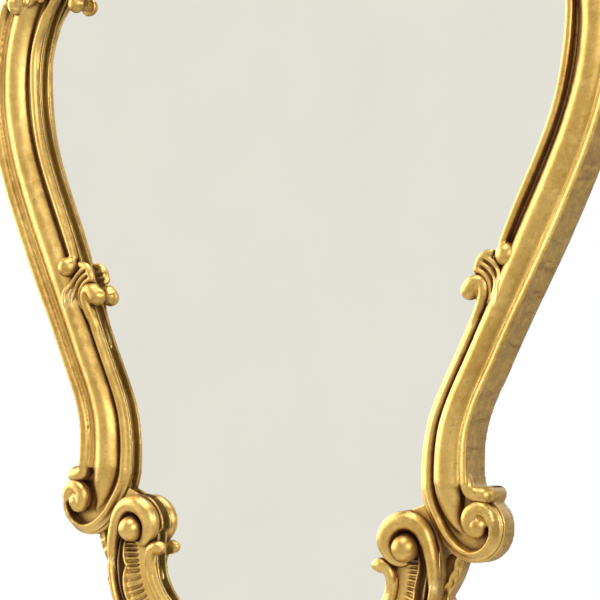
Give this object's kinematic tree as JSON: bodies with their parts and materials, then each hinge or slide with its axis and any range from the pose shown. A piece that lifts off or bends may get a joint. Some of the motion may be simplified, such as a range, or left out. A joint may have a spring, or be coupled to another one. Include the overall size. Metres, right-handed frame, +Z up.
{
  "type": "baroque mirror",
  "caption": "Carved and gilded wall mirror of balloon shape: scrolled rails with volutes, beads, leaves and shell crest round one plate of mirror glass; hangs on swinging rings.",
  "frame": {"origin": "centre of the felt bumper's rear face on the wall plane, on the mirror's centre line near its foot", "axes": "+X to the viewer's right, +Z up, +Y into the wall, so the mirror faces -Y"},
  "size_m": [0.6152, 0.0398, 0.922],
  "materials": {
    "gilding": "carved wood with burnished gold leaf over red bole, toned brown in the hollows",
    "mirror": "polished flat glass, silvered on the back",
    "felt": "dark wool felt",
    "board": "plain plywood",
    "dowel": "turned beech",
    "brass": "dull brass",
    "steel": "zinc-plated steel"
  },
  "bodies": {
    "frame": {"side_rail_left": "gilding", "side_rail_right": "gilding", "lower_rail_left": "gilding", "lower_rail_right": "gilding", "arch_rail_left": "gilding", "arch_rail_right": "gilding", "arch_bead_left": "gilding", "arch_bead_right": "gilding", "upper_bead_left": "gilding", "upper_bead_right": "gilding", "lower_bead_left": "gilding", "lower_bead_right": "gilding", "foot_bead_left": "gilding", "foot_bead_right": "gilding", "clasp_shell_left": "gilding", "clasp_shell_right": "gilding", "shoulder_clasp_left": "gilding", "shoulder_clasp_right": "gilding", "volute_eye_left": "gilding", "volute_eye_right": "gilding", "c_scroll_left": "gilding", "c_scroll_right": "gilding", "c_scroll_eye_left": "gilding", "c_scroll_eye_right": "gilding", "shoulder_leaf_left": "gilding", "shoulder_leaf_right": "gilding", "crest_leaf_left": "gilding", "crest_leaf_right": "gilding", "crest_scroll_left": "gilding", "crest_scroll_right": "gilding", "crest_husk_left": "gilding", "crest_husk_right": "gilding", "foot_leaf_left": "gilding", "foot_leaf_right": "gilding", "crest_block": "gilding", "crest_shell": "gilding", "crest_boss": "gilding", "apron_block": "gilding", "pendant_shell": "gilding", "mirror_glass": "mirror", "felt_sheet": "felt", "backing_board": "board", "wall_bumper": "felt", "joint_dowels": "dowel", "turn_button_screws": "brass", "hanger_screws": "steel", "hanger_strap_left": "steel", "hanger_strap_right": "steel"},
    "hanger_ring_left": {"hanger_ring_left": "steel"},
    "turn_button_arch_left": {"turn_button_arch_left": "brass"},
    "turn_button_upper_left": {"turn_button_upper_left": "brass"},
    "turn_button_waist_left": {"turn_button_waist_left": "brass"},
    "turn_button_foot_left": {"turn_button_foot_left": "brass"},
    "hanger_ring_right": {"hanger_ring_right": "steel"},
    "turn_button_arch_right": {"turn_button_arch_right": "brass"},
    "turn_button_upper_right": {"turn_button_upper_right": "brass"},
    "turn_button_waist_right": {"turn_button_waist_right": "brass"},
    "turn_button_foot_right": {"turn_button_foot_right": "brass"}
  },
  "joints": [
    {"name": "hanger_ring_left_swing", "type": "hinge", "parent": "frame", "child": "hanger_ring_left", "pos_m": [-0.288, -0.00282, 0.52], "axis": [-1, 0, 0], "range_deg": [0, 165]},
    {"name": "turn_button_arch_left_turn", "type": "hinge", "parent": "frame", "child": "turn_button_arch_left", "pos_m": [-0.11459, -0.0043, 0.72944], "axis": [0, -1, 0], "range_deg": [0, 90]},
    {"name": "turn_button_upper_left_turn", "type": "hinge", "parent": "frame", "child": "turn_button_upper_left", "pos_m": [-0.27203, -0.0043, 0.49652], "axis": [0, 1, 0], "range_deg": [0, 90]},
    {"name": "turn_button_waist_left_turn", "type": "hinge", "parent": "frame", "child": "turn_button_waist_left", "pos_m": [-0.2109, -0.0043, 0.33943], "axis": [0, -1, 0], "range_deg": [0, 90]},
    {"name": "turn_button_foot_left_turn", "type": "hinge", "parent": "frame", "child": "turn_button_foot_left", "pos_m": [-0.08946, -0.0043, 0.05642], "axis": [0, -1, 0], "range_deg": [0, 90]},
    {"name": "hanger_ring_right_swing", "type": "hinge", "parent": "frame", "child": "hanger_ring_right", "pos_m": [0.288, -0.00282, 0.52], "axis": [-1, 0, 0], "range_deg": [0, 165]},
    {"name": "turn_button_arch_right_turn", "type": "hinge", "parent": "frame", "child": "turn_button_arch_right", "pos_m": [0.11459, -0.0043, 0.72944], "axis": [0, 1, 0], "range_deg": [0, 90]},
    {"name": "turn_button_upper_right_turn", "type": "hinge", "parent": "frame", "child": "turn_button_upper_right", "pos_m": [0.27203, -0.0043, 0.49652], "axis": [0, -1, 0], "range_deg": [0, 90]},
    {"name": "turn_button_waist_right_turn", "type": "hinge", "parent": "frame", "child": "turn_button_waist_right", "pos_m": [0.2109, -0.0043, 0.33943], "axis": [0, 1, 0], "range_deg": [0, 90]},
    {"name": "turn_button_foot_right_turn", "type": "hinge", "parent": "frame", "child": "turn_button_foot_right", "pos_m": [0.08946, -0.0043, 0.05642], "axis": [0, 1, 0], "range_deg": [0, 90]}
  ]
}
